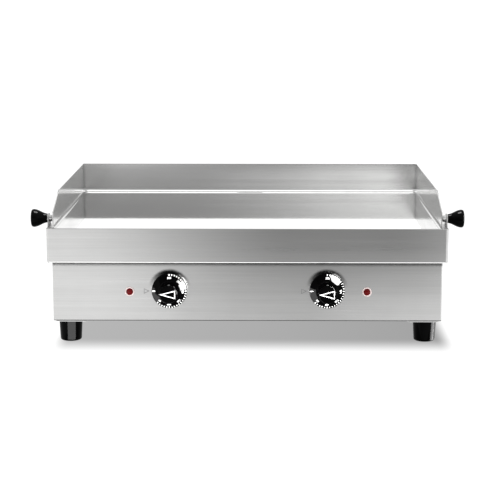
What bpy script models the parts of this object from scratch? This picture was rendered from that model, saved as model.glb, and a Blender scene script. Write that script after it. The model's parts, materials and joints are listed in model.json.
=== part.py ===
"""Electric flat top griddle, 700 mm wide, with a cooking plate that tilts up for cleaning.

Metres, +Z up. The control panel faces -Y, and the origin is on the table, under the middle of
the bounding box. Each sub-part is its own object; the empties stand on the joint axes.
"""

import math

import bmesh
import bpy
from mathutils import Matrix, Vector

# General
GAP = 0.0003  # between two pieces that touch
SHEET = 0.0015  # folded stainless sheet
PAST = 0.01  # how far a cutter runs past a face
SEGMENTS = 32
SMALL_SEGMENTS = 24
SIDES = (("left", -1), ("right", 1))

# Skirt: the upper box, which laps over the casing
SKIRT_WIDTH = 0.700
SKIRT_DEPTH = 0.473
SKIRT_BOTTOM = 0.147
COOKING_LEVEL = 0.208
CORNER_RADIUS = 0.005
HEM = 0.004  # sheet turned inwards along the skirt's lower edge

# Lower casing
BODY_INSET = 0.0086  # how far the casing stands inside the skirt, all round
BODY_BOTTOM = 0.042
BODY_TOP = 0.185
REAR_PANEL_TOP = 0.160  # low, so that the tilting plate clears it
FLANGE = 0.015  # casing sheet turned inwards under the base plate
BASE_SLOT = (0.006, 0.080)  # cooling slots in the base plate
BASE_SLOT_COUNT = 8
BASE_SLOT_STEP = 0.060
VENT = (0.005, 0.040)  # cooling slots in the rear panel
VENT_COUNT = 8
VENT_STEP = 0.012
VENT_START = 0.205  # first vent's middle
VENT_MIDDLE_Z = 0.082
PAN_FLOOR = 0.129
PAN_DEPTH = 0.016

# Cooking plate and splash walls
PLATE_THICKNESS = 0.008
DRAIN_LENGTH = 0.050
DRAIN_WIDTH = 0.008
SPLASH_SHEET = 0.002
SPLASH_HEIGHT = 0.0565
SPLASH_INNER_X = 0.3366
SPLASH_INNER_REAR = 0.460  # from the skirt's front face
SIDE_SPLASH_START = 0.004  # from the skirt's front face
SIDE_SPLASH_NOSE = 0.028  # height of the upright front edge
SIDE_SPLASH_SLOPE_END = 0.085  # where the slanting edge reaches full height

# Juice spout and tray
SPOUT_REAR = 0.446  # the drain's middle, from the skirt's front face
SPOUT_HALF_WIDTH = 0.034
SPOUT_HALF_DEPTH = 0.0065
SPOUT_BOTTOM = 0.105
TRAY_HALF_WIDTH = 0.150
TRAY_RIM = 0.012
TRAY_BOTTOM = 0.0475
TRAY_TOP = 0.098
TRAY_LENGTH = 0.166
TRAY_PLAY = 0.002  # round the tray in its opening

# Dials and pilot lamps
CONTROLS_SHIFT = 0.0018  # the panel's holes stand a little to the right of its middle
DIAL_X = 0.138
DIAL_Z = 0.0975
DIAL_RADIUS = 0.031
DIAL_RIM = 0.0075  # thickness of the rim
DIAL_HUB_RADIUS = 0.016
DIAL_REACH = 0.042  # from the casing's front face to the end of the hub
DIAL_CLEARANCE = 0.001  # between the dial's rim and the casing
KNOB_BORE_END = 0.026  # in front of the casing
SHAFT_RADIUS = 0.003
SHAFT_BORE = SHAFT_RADIUS + GAP
SHAFT_START = 0.012  # behind the panel
BUSH_RADIUS = 0.005
THERMOSTAT_SIZE = (0.045, 0.034, 0.036)
LAMP_X = 0.208
LAMP_Z = 0.0946
LAMP_RADIUS = 0.006
LAMP_STEM_RADIUS = 0.0045
LAMP_STEM_LENGTH = 0.024
BEZEL_WIDTH = 0.0022

# Feet
FOOT_X = 0.315
FOOT_INSET = 0.045  # foot's centre, from the skirt's front or rear face
FOOT_RADIUS = 0.021
FOOT_PLATE_REACH = 0.0354  # from the foot's centre, almost out to the casing's face

# Lifting knobs
HANDLE_Y = 0.035  # from the skirt's front face
HANDLE_Z = 0.2208
HANDLE_LENGTH = 0.0296
HANDLE_TIP_RADIUS = 0.0160
HANDLE_NECK_RADIUS = 0.008
HANDLE_BRACKET_X = 0.3495  # outer face of the bracket
WASHER_SPACE = 0.0011  # between the bracket and the knob
BOLT_HEAD = 0.0068
BOLT_SHANK = 0.016

# Hinges
HINGE_X = 0.26
HINGE_OFFSET = 0.0065  # pin's centre, behind the skirt
HINGE_Z = 0.152
KNUCKLE_RADIUS = 0.0055
EAR_RADIUS = 0.006
LEAF_HALF = 0.0155
EAR_INNER_HALF = 0.0165
EAR_OUTER_HALF = 0.0195
PIN_HEAD = (0.0045, 0.002)  # radius and height

# Mains inlet
REAR_REACH = 0.0135  # the cable gland's end, behind the skirt
GLAND_X = -0.25
GLAND_Z = 0.075
GLAND_THREAD = 0.008
GLAND_BORE = 0.0045
GLAND_FLANGE = 0.0125
GLAND_CAP = 0.0105
NUT_RADIUS = 0.012
WIRE_HOLE_RADIUS = 0.003

# Heating
ELEMENT_RADIUS = 0.004
ELEMENT_LEGS = (0.060, 0.140, 0.220, 0.300)
ELEMENT_END = 0.042  # the tube's ends and its two rows of bends, from the skirt's front face
ELEMENT_NEAR = 0.090
ELEMENT_FAR = 0.370
CLAMP_MIDDLE = 0.230
CLAMP_HALF_WIDTH = 0.010
CLAMP_THICKNESS = 0.003
BULB_RADIUS = 0.003
BULB_LENGTH = 0.070
PAD_HALF_WIDTH = 0.320
PAD_FRONT = 0.062  # the insulation's edges, from the skirt's front face
PAD_REAR = 0.418
PAD_THICKNESS = 0.012

# Places worked out from them
OVERALL_DEPTH = DIAL_REACH - BODY_INSET + SKIRT_DEPTH + REAR_REACH
FRONT = DIAL_REACH - BODY_INSET - OVERALL_DEPTH / 2  # the skirt's front face
REAR = FRONT + SKIRT_DEPTH
SKIRT_HALF = SKIRT_WIDTH / 2
BODY_HALF = SKIRT_HALF - BODY_INSET
INNER_HALF = BODY_HALF - SHEET - GAP  # pieces that fit between the casing's sides
BODY_FRONT = FRONT + BODY_INSET
BODY_REAR = REAR - BODY_INSET
PANEL_BACK = BODY_FRONT + SHEET
SPLASH_OUTER_X = SPLASH_INNER_X + SPLASH_SHEET
SPLASH_INNER_Y = FRONT + SPLASH_INNER_REAR
SPLASH_OUTER_Y = SPLASH_INNER_Y + SPLASH_SHEET
PLATE_FRONT = FRONT + SHEET + GAP
PLATE_UNDERSIDE = COOKING_LEVEL - PLATE_THICKNESS
HINGE_Y = REAR + HINGE_OFFSET
BASE_FLOOR = BODY_BOTTOM + SHEET + GAP  # the base plate's underside
BASE_TOP = BASE_FLOOR + SHEET
SPOUT_Y = FRONT + SPOUT_REAR


# Shapes


def corner(x, y, radius, start, steps=4):
    """Points of a quarter round about (x, y), from the start angle in degrees."""
    angles = [math.radians(start + 90 * i / steps) for i in range(steps + 1)]
    return [(x + radius * math.cos(a), y + radius * math.sin(a)) for a in angles]


def rounded(low_x, low_y, high_x, high_y, radius, steps=4):
    """A rectangle's outline with round corners."""
    inner_x, inner_y = (low_x + radius, high_x - radius), (low_y + radius, high_y - radius)
    centres = ((1, 1, 0), (0, 1, 90), (0, 0, 180), (1, 0, 270))
    outline = []
    for i, j, start in centres:
        outline += corner(inner_x[i], inner_y[j], radius, start, steps)
    return outline


def slot(x, y, width, length):
    """The outline of a slot with round ends, long along its second axis."""
    half = width / 2
    return rounded(x - half, y - length / 2, x + half, y + length / 2, half - 0.0001, 3)


def rectangle(low_x, low_y, high_x, high_y):
    return [(low_x, low_y), (high_x, low_y), (high_x, high_y), (low_x, high_y)]


def prism(outline, start, end, along="Z"):
    """An outline pushed along an axis. It lies in (y, z) for X, in (x, z) for Y and in (x, y) for Z."""
    shape = bmesh.new()
    index = "XYZ".index(along)
    rows = []
    for level in (start, end):
        points = [list(point) for point in outline]
        for point in points:
            point.insert(index, level)
        rows.append([shape.verts.new(point) for point in points])
    shape.faces.new(rows[0])
    shape.faces.new(rows[1])
    for i in range(len(outline)):
        shape.faces.new((rows[0][i - 1], rows[0][i], rows[1][i], rows[1][i - 1]))
    return shape


def block(low, high):
    return prism(rectangle(low[0], low[1], high[0], high[1]), low[2], high[2])


def turned(profile, centre, direction, ring=False, steps=SEGMENTS):
    """A profile of (radius, distance) points turned round an axis. A ring's profile closes on itself."""
    shape = bmesh.new()
    circles = []
    for radius, distance in profile:
        if radius == 0:
            circles.append([shape.verts.new((0, 0, distance))] * steps)
            continue
        angles = [2 * math.pi * (i + 0.5) / steps for i in range(steps)]
        circles.append(
            [shape.verts.new((radius * math.cos(a), radius * math.sin(a), distance)) for a in angles]
        )
    following = circles[1:] + circles[:1] if ring else circles[1:]
    for first, second in zip(circles, following):
        for i in range(steps):
            face = dict.fromkeys((first[i - 1], first[i], second[i], second[i - 1]))
            if len(face) > 2:
                shape.faces.new(list(face))
    turn = Vector((0, 0, 1)).rotation_difference(Vector(direction)).to_matrix().to_4x4()
    shape.transform(Matrix.Translation(centre) @ turn)
    return shape


def rod(radius, start, length, direction, steps=SMALL_SEGMENTS):
    """A plain round bar."""
    return turned([(0, 0), (radius, 0), (radius, length), (0, length)], start, direction, steps=steps)


def bore(radius, x, z, face_y):
    """A cutter for a hole through a sheet that faces along Y."""
    return rod(radius, (x, face_y - PAST, z), 2 * PAST, (0, 1, 0))


# Objects


def clear_scene():
    for item in list(bpy.data.objects):
        bpy.data.objects.remove(item, do_unlink=True)


def material(name, colour, roughness, metallic=0.0):
    made = bpy.data.materials.new(name)
    made.use_nodes = True
    shader = made.node_tree.nodes["Principled BSDF"]
    shader.inputs["Base Color"].default_value = (*colour, 1)
    shader.inputs["Roughness"].default_value = roughness
    shader.inputs["Metallic"].default_value = metallic
    made.diffuse_color = (*colour, 1)
    return made


def axis_empty(name, place):
    empty = bpy.data.objects.new(name, None)
    bpy.context.collection.objects.link(empty)
    empty.location = place
    return empty


def combine(target, operation, shapes):
    """Takes each shape away from the target (DIFFERENCE), or joins it on (UNION)."""
    for number, shape in enumerate(shapes):
        name = f"{operation.lower()}_{number}"
        helper = new_object(f"{target.name}_{name}", shape)
        helper.hide_render = True
        helper.display_type = "WIRE"
        modifier = target.modifiers.new(name, "BOOLEAN")
        modifier.object = helper
        modifier.operation = operation
        modifier.solver = "EXACT"


def new_object(name, shape):
    bmesh.ops.recalc_face_normals(shape, faces=shape.faces)
    mesh = bpy.data.meshes.new(name)
    shape.to_mesh(mesh)
    shape.free()
    item = bpy.data.objects.new(name, mesh)
    bpy.context.collection.objects.link(item)
    return item


def piece(name, shape, finish, cuts=(), parent=None):
    """One sub-part, with its origin on its joint's axis where it has a parent, else at its middle."""
    item = new_object(name, shape)
    item.data.materials.append(finish)
    if parent:
        middle = parent.location.copy()
        item.parent = parent
    else:
        middle = sum((Vector(spot) for spot in item.bound_box), Vector()) / 8
        item.location = middle
    item.data.transform(Matrix.Translation(-middle))
    item.data.shade_smooth()
    item.data.set_sharp_from_angle(angle=math.radians(35))
    combine(item, "DIFFERENCE", cuts)
    return item


# Lower casing


def make_body_shell(steel):
    """Front and sides in one sheet, turned inwards along the lower edge, open at the back and top."""
    outline = rounded(-BODY_HALF, BODY_FRONT, BODY_HALF, BODY_REAR + CORNER_RADIUS, CORNER_RADIUS / 2)
    inner_x = BODY_HALF - SHEET
    flange_x = inner_x - FLANGE
    past_rear = BODY_REAR + 2 * PAST
    cuts = [
        block((-inner_x, PANEL_BACK, BODY_BOTTOM + SHEET), (inner_x, past_rear, BODY_TOP + PAST)),
        block((-flange_x, PANEL_BACK + FLANGE, BODY_BOTTOM - PAST), (flange_x, past_rear, BODY_TOP)),
        block((-SKIRT_HALF, BODY_REAR, 0), (SKIRT_HALF, past_rear, BODY_TOP + PAST)),
    ]
    for _, side in SIDES:
        dial_x, lamp_x = side * DIAL_X + CONTROLS_SHIFT, side * LAMP_X + CONTROLS_SHIFT
        cuts.append(bore(BUSH_RADIUS + GAP, dial_x, DIAL_Z, BODY_FRONT))
        cuts.append(bore(LAMP_STEM_RADIUS + GAP, lamp_x, LAMP_Z, BODY_FRONT))
    piece("body_shell", prism(outline, BODY_BOTTOM, BODY_TOP), steel, cuts)


def make_rear_panel(steel):
    way_x = TRAY_HALF_WIDTH + TRAY_RIM + TRAY_PLAY
    cuts = [
        block((-way_x, 0, TRAY_BOTTOM - 0.001), (way_x, REAR, TRAY_TOP + TRAY_PLAY)),
        bore(GLAND_THREAD + GAP, GLAND_X, GLAND_Z, BODY_REAR),
    ]
    for i in range(VENT_COUNT):
        vent = slot(VENT_START + VENT_STEP * i, VENT_MIDDLE_Z, *VENT)
        cuts.append(prism(vent, BODY_REAR - PAST, BODY_REAR + PAST, "Y"))
    panel = block((-INNER_HALF, BODY_REAR - SHEET, BASE_FLOOR), (INNER_HALF, BODY_REAR, REAR_PANEL_TOP))
    piece("rear_panel", panel, steel, cuts)


def make_base_plate(zinc):
    inner_rear = BODY_REAR - SHEET - GAP
    first = -BASE_SLOT_STEP * (BASE_SLOT_COUNT - 1) / 2
    middle = FRONT + 0.160
    cuts = [
        prism(slot(first + BASE_SLOT_STEP * i, middle, *BASE_SLOT), 0, BASE_TOP + PAST)
        for i in range(BASE_SLOT_COUNT)
    ]
    base = block((-INNER_HALF, PANEL_BACK + GAP, BASE_FLOOR), (INNER_HALF, inner_rear, BASE_TOP))
    piece("base_plate", base, zinc, cuts)


def make_inner_pan(bright):
    """The shallow pan over the wiring, with a way through for the juice spout."""
    low = Vector((-INNER_HALF, PANEL_BACK + GAP, PAN_FLOOR))
    high = Vector((INNER_HALF, BODY_REAR - SHEET - GAP, PAN_FLOOR + PAN_DEPTH))
    wall = Vector((SHEET, SHEET, 0))
    hollow = block(low + wall + Vector((0, 0, SHEET)), high - wall + Vector((0, 0, PAST)))
    way_x = SPOUT_HALF_WIDTH + 0.008
    # The spout swings forwards as the plate tilts, so its way is longer in front.
    spout_way = block(
        (-way_x, SPOUT_Y - 0.036, PAN_FLOOR - PAST), (way_x, SPOUT_Y + 0.012, PAN_FLOOR + PAST)
    )
    piece("inner_pan", block(low, high), bright, [hollow, spout_way])


def make_feet(rubber, bright):
    bracket_top = BODY_BOTTOM - GAP
    foot_top = bracket_top - SHEET - GAP
    edge = 0.001
    profile = [(0, 0)] + corner(FOOT_RADIUS - 0.0055, 0.004, 0.004, -90)
    profile += [(FOOT_RADIUS, foot_top - edge), (FOOT_RADIUS - edge, foot_top), (0, foot_top)]
    for end, y in (("front", FRONT + FOOT_INSET), ("rear", REAR - FOOT_INSET)):
        for name, side in SIDES:
            x = side * FOOT_X
            piece(f"foot_{end}_{name}", turned(profile, (x, y, 0), (0, 0, 1)), rubber)
            outer, inner = sorted((x + side * 0.0225, x - side * 0.033))
            plate = rounded(outer, y - FOOT_PLATE_REACH, inner, y + FOOT_PLATE_REACH, 0.004)
            piece(f"foot_bracket_{end}_{name}", prism(plate, bracket_top - SHEET, bracket_top), bright)


# Controls


def make_thermostat(name, x, phenolic):
    """The switch behind the panel, whose bush stands in the panel's hole."""
    back = PANEL_BACK + GAP
    width, depth, height = THERMOSTAT_SIZE
    low = (x - width / 2, back, DIAL_Z - height / 2)
    high = (x + width / 2, back + depth, DIAL_Z + height / 2)
    front = BODY_FRONT - GAP
    overlap = 0.004
    body = piece(f"thermostat_body_{name}", block(low, high), phenolic)
    combine(body, "UNION", [rod(BUSH_RADIUS, (x, front, DIAL_Z), back - front + overlap, (0, 1, 0))])
    shaft_way = rod(SHAFT_BORE, (x, front - PAST, DIAL_Z), PAST + SHAFT_START + overlap, (0, 1, 0))
    combine(body, "DIFFERENCE", [shaft_way])


def dial_profile():
    """The dial's section as (radius, distance in front of the casing), with its hollow underside."""
    back, front = DIAL_CLEARANCE, DIAL_CLEARANCE + DIAL_RIM
    wall, rim_edge, hub_edge = 0.002, 0.001, 0.0015
    profile = [(0, KNOB_BORE_END), (SHAFT_BORE, KNOB_BORE_END), (SHAFT_BORE, 0.0025), (0.0075, 0.0025)]
    profile += [(0.0075, 0.0110), (0.0170, 0.0100), (DIAL_RADIUS - wall, front - wall)]
    profile += [(DIAL_RADIUS - wall, back), (DIAL_RADIUS, back), (DIAL_RADIUS, front)]
    profile += [(DIAL_RADIUS - rim_edge, front + rim_edge), (0.0215, 0.0125), (0.0185, 0.0150)]
    profile += [(0.0170, 0.0185), (DIAL_HUB_RADIUS, 0.0240)]
    profile += corner(DIAL_HUB_RADIUS - hub_edge, DIAL_REACH - hub_edge, hub_edge, 0, 3)
    return profile + [(0, DIAL_REACH)]


def make_dial(name, x, gloss, steel):
    pivot = axis_empty(f"dial_axis_{name}", (x, BODY_FRONT, DIAL_Z))
    knob = turned(dial_profile(), (x, BODY_FRONT, DIAL_Z), (0, -1, 0), steps=40)
    piece(f"dial_knob_{name}", knob, gloss, parent=pivot)
    end_play = 0.0005
    shaft_front = BODY_FRONT - KNOB_BORE_END + end_play
    shaft_length = PANEL_BACK + GAP + SHAFT_START - shaft_front
    shaft = rod(SHAFT_RADIUS, (x, shaft_front, DIAL_Z), shaft_length, (0, 1, 0), 20)
    piece(f"thermostat_shaft_{name}", shaft, steel, parent=pivot)


def make_lamp(name, x, red, pale):
    centre = (x, BODY_FRONT, LAMP_Z)
    edge = 0.003
    profile = [(0, -LAMP_STEM_LENGTH), (LAMP_STEM_RADIUS, -LAMP_STEM_LENGTH), (LAMP_STEM_RADIUS, GAP)]
    profile += [(LAMP_RADIUS, GAP)] + corner(LAMP_RADIUS - edge, 0.0018, edge, 0) + [(0, 0.0052)]
    lens = turned(profile, centre, (0, -1, 0), steps=SMALL_SEGMENTS)
    piece(f"pilot_lamp_{name}", lens, red)
    inner, outer = LAMP_RADIUS + GAP, LAMP_RADIUS + BEZEL_WIDTH
    ring = [(outer, GAP), (outer, 0.0012), (outer - 0.0005, 0.0016), (inner, 0.0016), (inner, GAP)]
    bezel = turned(ring, centre, (0, -1, 0), ring=True, steps=SMALL_SEGMENTS)
    piece(f"lamp_bezel_{name}", bezel, pale)


# Mains inlet


def make_mains_inlet(black, cream):
    """An empty cable gland in the rear panel, its nut inside, and the terminal block."""
    centre = (GLAND_X, BODY_REAR, GLAND_Z)
    end = REAR + REAR_REACH - BODY_REAR
    section = [(GLAND_BORE, -0.012), (GLAND_THREAD, -0.012), (GLAND_THREAD, GAP), (GLAND_FLANGE, GAP)]
    section += [(GLAND_FLANGE, 0.006), (GLAND_CAP, 0.0065), (GLAND_CAP, end - 0.005)]
    section += [(0.0075, end), (GLAND_BORE, end)]
    gland = turned(section, centre, (0, 1, 0), ring=True, steps=SMALL_SEGMENTS)
    piece("cable_gland", gland, black)
    nut = rod(NUT_RADIUS, (GLAND_X, BODY_REAR - 0.0068, GLAND_Z), 0.005, (0, 1, 0), 6)
    piece("gland_nut", nut, black, [bore(GLAND_THREAD + GAP, GLAND_X, GLAND_Z, BODY_REAR)])
    low = Vector((GLAND_X - 0.030, BODY_REAR - 0.075, BASE_TOP + GAP))
    high = Vector((GLAND_X + 0.030, BODY_REAR - 0.050, BASE_TOP + 0.022))
    middle = (low + high) / 2
    wire_ways = [
        rod(WIRE_HOLE_RADIUS, (middle.x + 0.020 * i, low.y - PAST, middle.z), 0.05, (0, 1, 0), 12)
        for i in (-1, 0, 1)
    ]
    piece("terminal_block", block(low, high), cream, wire_ways)


# Juice tray


def make_drip_tray(steel):
    pivot = axis_empty("tray_slide", (0, BODY_REAR, (TRAY_BOTTOM + TRAY_TOP) / 2))
    face_y = BODY_REAR + GAP
    start_y = BODY_REAR - TRAY_LENGTH
    rim_x = TRAY_HALF_WIDTH + TRAY_RIM
    inner_x = TRAY_HALF_WIDTH - SHEET
    under_rim = TRAY_TOP - SHEET
    before, after = start_y - TRAY_RIM - PAST, face_y + PAST
    tray = prism(rounded(-rim_x, start_y - TRAY_RIM, rim_x, face_y, 0.004), TRAY_BOTTOM, TRAY_TOP)
    cuts = [
        block((-rim_x - PAST, before, 0), (-TRAY_HALF_WIDTH, after, under_rim)),
        block((TRAY_HALF_WIDTH, before, 0), (rim_x + PAST, after, under_rim)),
        block((-rim_x, before, 0), (rim_x, start_y, under_rim)),
        block(
            (-inner_x, start_y + SHEET, TRAY_BOTTOM + SHEET), (inner_x, face_y - 0.002, TRAY_TOP + PAST)
        ),
    ]
    body = piece("drip_tray", tray, steel, cuts, pivot)
    fascia = rounded(-rim_x - 0.005, 0.0448, rim_x + 0.005, 0.104, 0.003)
    drop, reach, top = 0.014, 0.012, 0.090
    pull = [(0, top), (reach, top), (reach, top - drop), (reach + SHEET, top - drop)]
    pull += [(reach + SHEET, top + SHEET), (0, top + SHEET)]
    additions = [
        prism(fascia, face_y, face_y + SHEET, "Y"),
        prism([(face_y + y, z) for y, z in pull], -0.060, 0.060, "X"),
    ]
    combine(body, "UNION", additions)


def make_tray_runners(zinc):
    """The C-shaped rails that carry the tray's rim, one at each side."""
    start_y = BODY_REAR - TRAY_LENGTH - 0.020
    inner = TRAY_HALF_WIDTH + 0.003
    bottom, top = BASE_TOP + GAP, TRAY_TOP - SHEET - GAP
    foot, ledge = inner + 0.012, inner + 0.009
    section = [(inner, bottom), (foot, bottom), (foot, bottom + SHEET), (inner + SHEET, bottom + SHEET)]
    section += [(inner + SHEET, top - SHEET), (ledge, top - SHEET), (ledge, top), (inner, top)]
    for name, side in SIDES:
        outline = [(side * x, z) for x, z in section]
        piece(f"tray_runner_{name}", prism(outline, start_y, BODY_REAR - SHEET - GAP, "Y"), zinc)


# Tilting plate


def side_splash_outline():
    base = COOKING_LEVEL + GAP
    top = COOKING_LEVEL + SPLASH_HEIGHT
    return [
        (FRONT + SIDE_SPLASH_START, base),
        (FRONT + SIDE_SPLASH_START, COOKING_LEVEL + SIDE_SPLASH_NOSE),
        (FRONT + SIDE_SPLASH_SLOPE_END, top),
        (SPLASH_INNER_Y - GAP, top),
        (SPLASH_INNER_Y - GAP, base),
    ]


def make_cooking_plate(polished, pivot):
    low = (-SPLASH_OUTER_X, PLATE_FRONT, PLATE_UNDERSIDE)
    high = (SPLASH_OUTER_X, SPLASH_OUTER_Y, COOKING_LEVEL)
    drain = [(y, x) for x, y in slot(SPOUT_Y, 0, DRAIN_WIDTH, DRAIN_LENGTH)]
    drain_way = prism(drain, PLATE_UNDERSIDE - PAST, COOKING_LEVEL + PAST)
    piece("cooking_plate", block(low, high), polished, [drain_way], pivot)


def make_splash_walls(bright, pivot):
    for name, side in SIDES:
        faces = sorted((side * SPLASH_INNER_X, side * SPLASH_OUTER_X))
        piece(f"side_splash_{name}", prism(side_splash_outline(), *faces, "X"), bright, parent=pivot)
    low = (-SPLASH_OUTER_X, SPLASH_INNER_Y, COOKING_LEVEL + GAP)
    high = (SPLASH_OUTER_X, SPLASH_OUTER_Y, COOKING_LEVEL + SPLASH_HEIGHT)
    piece("back_splash", block(low, high), bright, parent=pivot)


def make_skirt(steel, pivot):
    """A band with a hem below, and above it a ledge that runs in to the cooking plate."""
    outer = rounded(-SKIRT_HALF, FRONT, SKIRT_HALF, REAR, CORNER_RADIUS)
    inner_x = SKIRT_HALF - SHEET
    hem_x = inner_x - HEM
    halfway = (SKIRT_BOTTOM + COOKING_LEVEL) / 2
    hollow = rounded(-inner_x, FRONT + SHEET, inner_x, REAR - SHEET, CORNER_RADIUS - SHEET)
    plate_way_x = SPLASH_OUTER_X + GAP
    cuts = [
        prism(hollow, SKIRT_BOTTOM + SHEET, COOKING_LEVEL - SHEET),
        block(
            (-hem_x, FRONT + SHEET + HEM, SKIRT_BOTTOM - PAST), (hem_x, REAR - SHEET - HEM, halfway)
        ),
        block(
            (-plate_way_x, FRONT + SHEET, halfway),
            (plate_way_x, SPLASH_OUTER_Y + GAP, COOKING_LEVEL + PAST),
        ),
    ]
    piece("plate_skirt", prism(outer, SKIRT_BOTTOM, COOKING_LEVEL), steel, cuts, pivot)


def make_spout(bright, pivot):
    low = Vector((-SPOUT_HALF_WIDTH, SPOUT_Y - SPOUT_HALF_DEPTH, SPOUT_BOTTOM))
    high = Vector((SPOUT_HALF_WIDTH, SPOUT_Y + SPOUT_HALF_DEPTH, PLATE_UNDERSIDE - GAP))
    wall = Vector((SHEET, SHEET, -PAST))
    piece("juice_spout", block(low, high), bright, [block(low + wall, high - wall)], pivot)


def element_route(side):
    """The heating tube's middle line: legs along Y joined by half rounds, its two ends turned down."""
    level = PLATE_UNDERSIDE - GAP - ELEMENT_RADIUS
    end_y = FRONT + ELEMENT_END
    drop = [(end_y, level - 0.030), (end_y, level - 0.008), (end_y + 0.003, level - 0.002)]
    drop.append((end_y + 0.008, level))
    points = [(ELEMENT_LEGS[0], y, z) for y, z in drop]
    steps = 8
    for i, (leg, next_leg) in enumerate(zip(ELEMENT_LEGS, ELEMENT_LEGS[1:])):
        turn_y, outwards = (FRONT + ELEMENT_FAR, 1) if i % 2 == 0 else (FRONT + ELEMENT_NEAR, -1)
        middle, radius = (leg + next_leg) / 2, (next_leg - leg) / 2
        for step in range(steps + 1):
            angle = math.pi * step / steps
            y = turn_y + outwards * radius * math.sin(angle)
            points.append((middle - radius * math.cos(angle), y, level))
    points += [(ELEMENT_LEGS[-1], y, z) for y, z in reversed(drop)]
    return [(side * x, y, z) for x, y, z in points]


def make_element(name, side, incoloy, pivot):
    curve = bpy.data.curves.new(f"heating_element_{name}", "CURVE")
    curve.dimensions = "3D"
    curve.bevel_depth = ELEMENT_RADIUS
    curve.bevel_resolution = 2
    curve.use_fill_caps = True
    route = element_route(side)
    spline = curve.splines.new("POLY")
    spline.points.add(len(route) - 1)
    for point, place in zip(spline.points, route):
        point.co = (*(Vector(place) - pivot.location), 1)
    curve.materials.append(incoloy)
    tube = bpy.data.objects.new(f"heating_element_{name}", curve)
    bpy.context.collection.objects.link(tube)
    tube.parent = pivot


def make_heating(incoloy, zinc, fibre, copper, pivot):
    clamp_top = PLATE_UNDERSIDE - GAP - 2 * ELEMENT_RADIUS - GAP
    clamp_bottom = clamp_top - CLAMP_THICKNESS
    middle = FRONT + CLAMP_MIDDLE
    past_leg = 0.012
    for name, side in SIDES:
        make_element(name, side, incoloy, pivot)
        ends = sorted((side * (ELEMENT_LEGS[0] - past_leg), side * (ELEMENT_LEGS[-1] + past_leg)))
        low = (ends[0], middle - CLAMP_HALF_WIDTH, clamp_bottom)
        high = (ends[1], middle + CLAMP_HALF_WIDTH, clamp_top)
        piece(f"element_clamp_{name}", block(low, high), zinc, parent=pivot)
        bulb_x = side * (ELEMENT_LEGS[1] + ELEMENT_LEGS[2]) / 2
        bulb_start = (bulb_x, FRONT + 0.150, PLATE_UNDERSIDE - GAP - BULB_RADIUS)
        bulb = rod(BULB_RADIUS, bulb_start, BULB_LENGTH, (0, 1, 0), 12)
        piece(f"thermostat_bulb_{name}", bulb, copper, parent=pivot)

    pad_top = clamp_bottom - GAP
    pad_low = Vector((-PAD_HALF_WIDTH, FRONT + PAD_FRONT, pad_top - PAD_THICKNESS))
    pad_high = Vector((PAD_HALF_WIDTH, FRONT + PAD_REAR, pad_top))
    piece("insulation_pad", block(pad_low, pad_high), fibre, parent=pivot)
    play = Vector((GAP, GAP, GAP))
    wall = play + Vector((SHEET, SHEET, SHEET))
    upstand = 0.002
    shell = block(pad_low - wall, pad_high + Vector((wall.x, wall.y, upstand)))
    hollow = block(pad_low - play, pad_high + Vector((GAP, GAP, PAST)))
    piece("heat_shield", shell, zinc, [hollow], pivot)


def make_lifting_knob(name, side, gloss, pivot):
    """A knob that swells from its neck, bored for its bolt."""
    swell_start, swell_length, edge = 0.002, 0.024, 0.003
    profile = [(0, BOLT_SHANK), (SHAFT_BORE, BOLT_SHANK), (SHAFT_BORE, 0), (HANDLE_NECK_RADIUS, 0)]
    for share in (0.25, 0.5, 0.75, 1.0):
        swelling = (HANDLE_TIP_RADIUS - HANDLE_NECK_RADIUS) * math.sin(math.pi / 2 * share)
        profile.append((HANDLE_NECK_RADIUS + swelling, swell_start + swell_length * share))
    profile += corner(HANDLE_TIP_RADIUS - edge, swell_start + swell_length + 0.0002, edge, 0, 3)
    profile += [(0.006, HANDLE_LENGTH - 0.0003), (0, HANDLE_LENGTH)]
    start = (side * (HANDLE_BRACKET_X + WASHER_SPACE), FRONT + HANDLE_Y, HANDLE_Z)
    piece(f"handle_knob_{name}", turned(profile, start, (side, 0, 0)), gloss, parent=pivot)


def make_knob_bracket(name, side, steel, pivot):
    """The upright tab that carries the knob, wide at its foot."""
    y = FRONT + HANDLE_Y
    ledge = COOKING_LEVEL + GAP
    half = [(0.018, ledge), (0.009, HANDLE_Z + 0.004), (0.004, HANDLE_Z + 0.009)]
    outline = [(y + out, z) for out, z in half] + [(y - out, z) for out, z in reversed(half)]
    faces = sorted((side * (HANDLE_BRACKET_X - SHEET), side * HANDLE_BRACKET_X))
    bolt_way = rod(SHAFT_BORE, (faces[0] - PAST, y, HANDLE_Z), 2 * PAST + SHEET, (1, 0, 0), 20)
    piece(f"handle_bracket_{name}", prism(outline, *faces, "X"), steel, [bolt_way], pivot)


def make_knob_bolt(name, side, chrome, pivot):
    profile = [(0, 0), (0.0035, 0.0004), (0.0058, 0.0026), (0.0065, BOLT_HEAD), (SHAFT_RADIUS, BOLT_HEAD)]
    profile += [(SHAFT_RADIUS, BOLT_HEAD + BOLT_SHANK), (0, BOLT_HEAD + BOLT_SHANK)]
    x = side * (HANDLE_BRACKET_X - SHEET - GAP - BOLT_HEAD)
    bolt = turned(profile, (x, FRONT + HANDLE_Y, HANDLE_Z), (side, 0, 0), steps=SMALL_SEGMENTS)
    piece(f"handle_bolt_{name}", bolt, chrome, parent=pivot)


# Hinges


def around_pin(radius, start, end, step):
    """Points round the hinge's axis as (y, z), between two angles in degrees."""
    angles = [math.radians(a) for a in range(start, end, step)]
    return [(HINGE_Y + radius * math.cos(a), HINGE_Z + radius * math.sin(a)) for a in angles]


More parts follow.
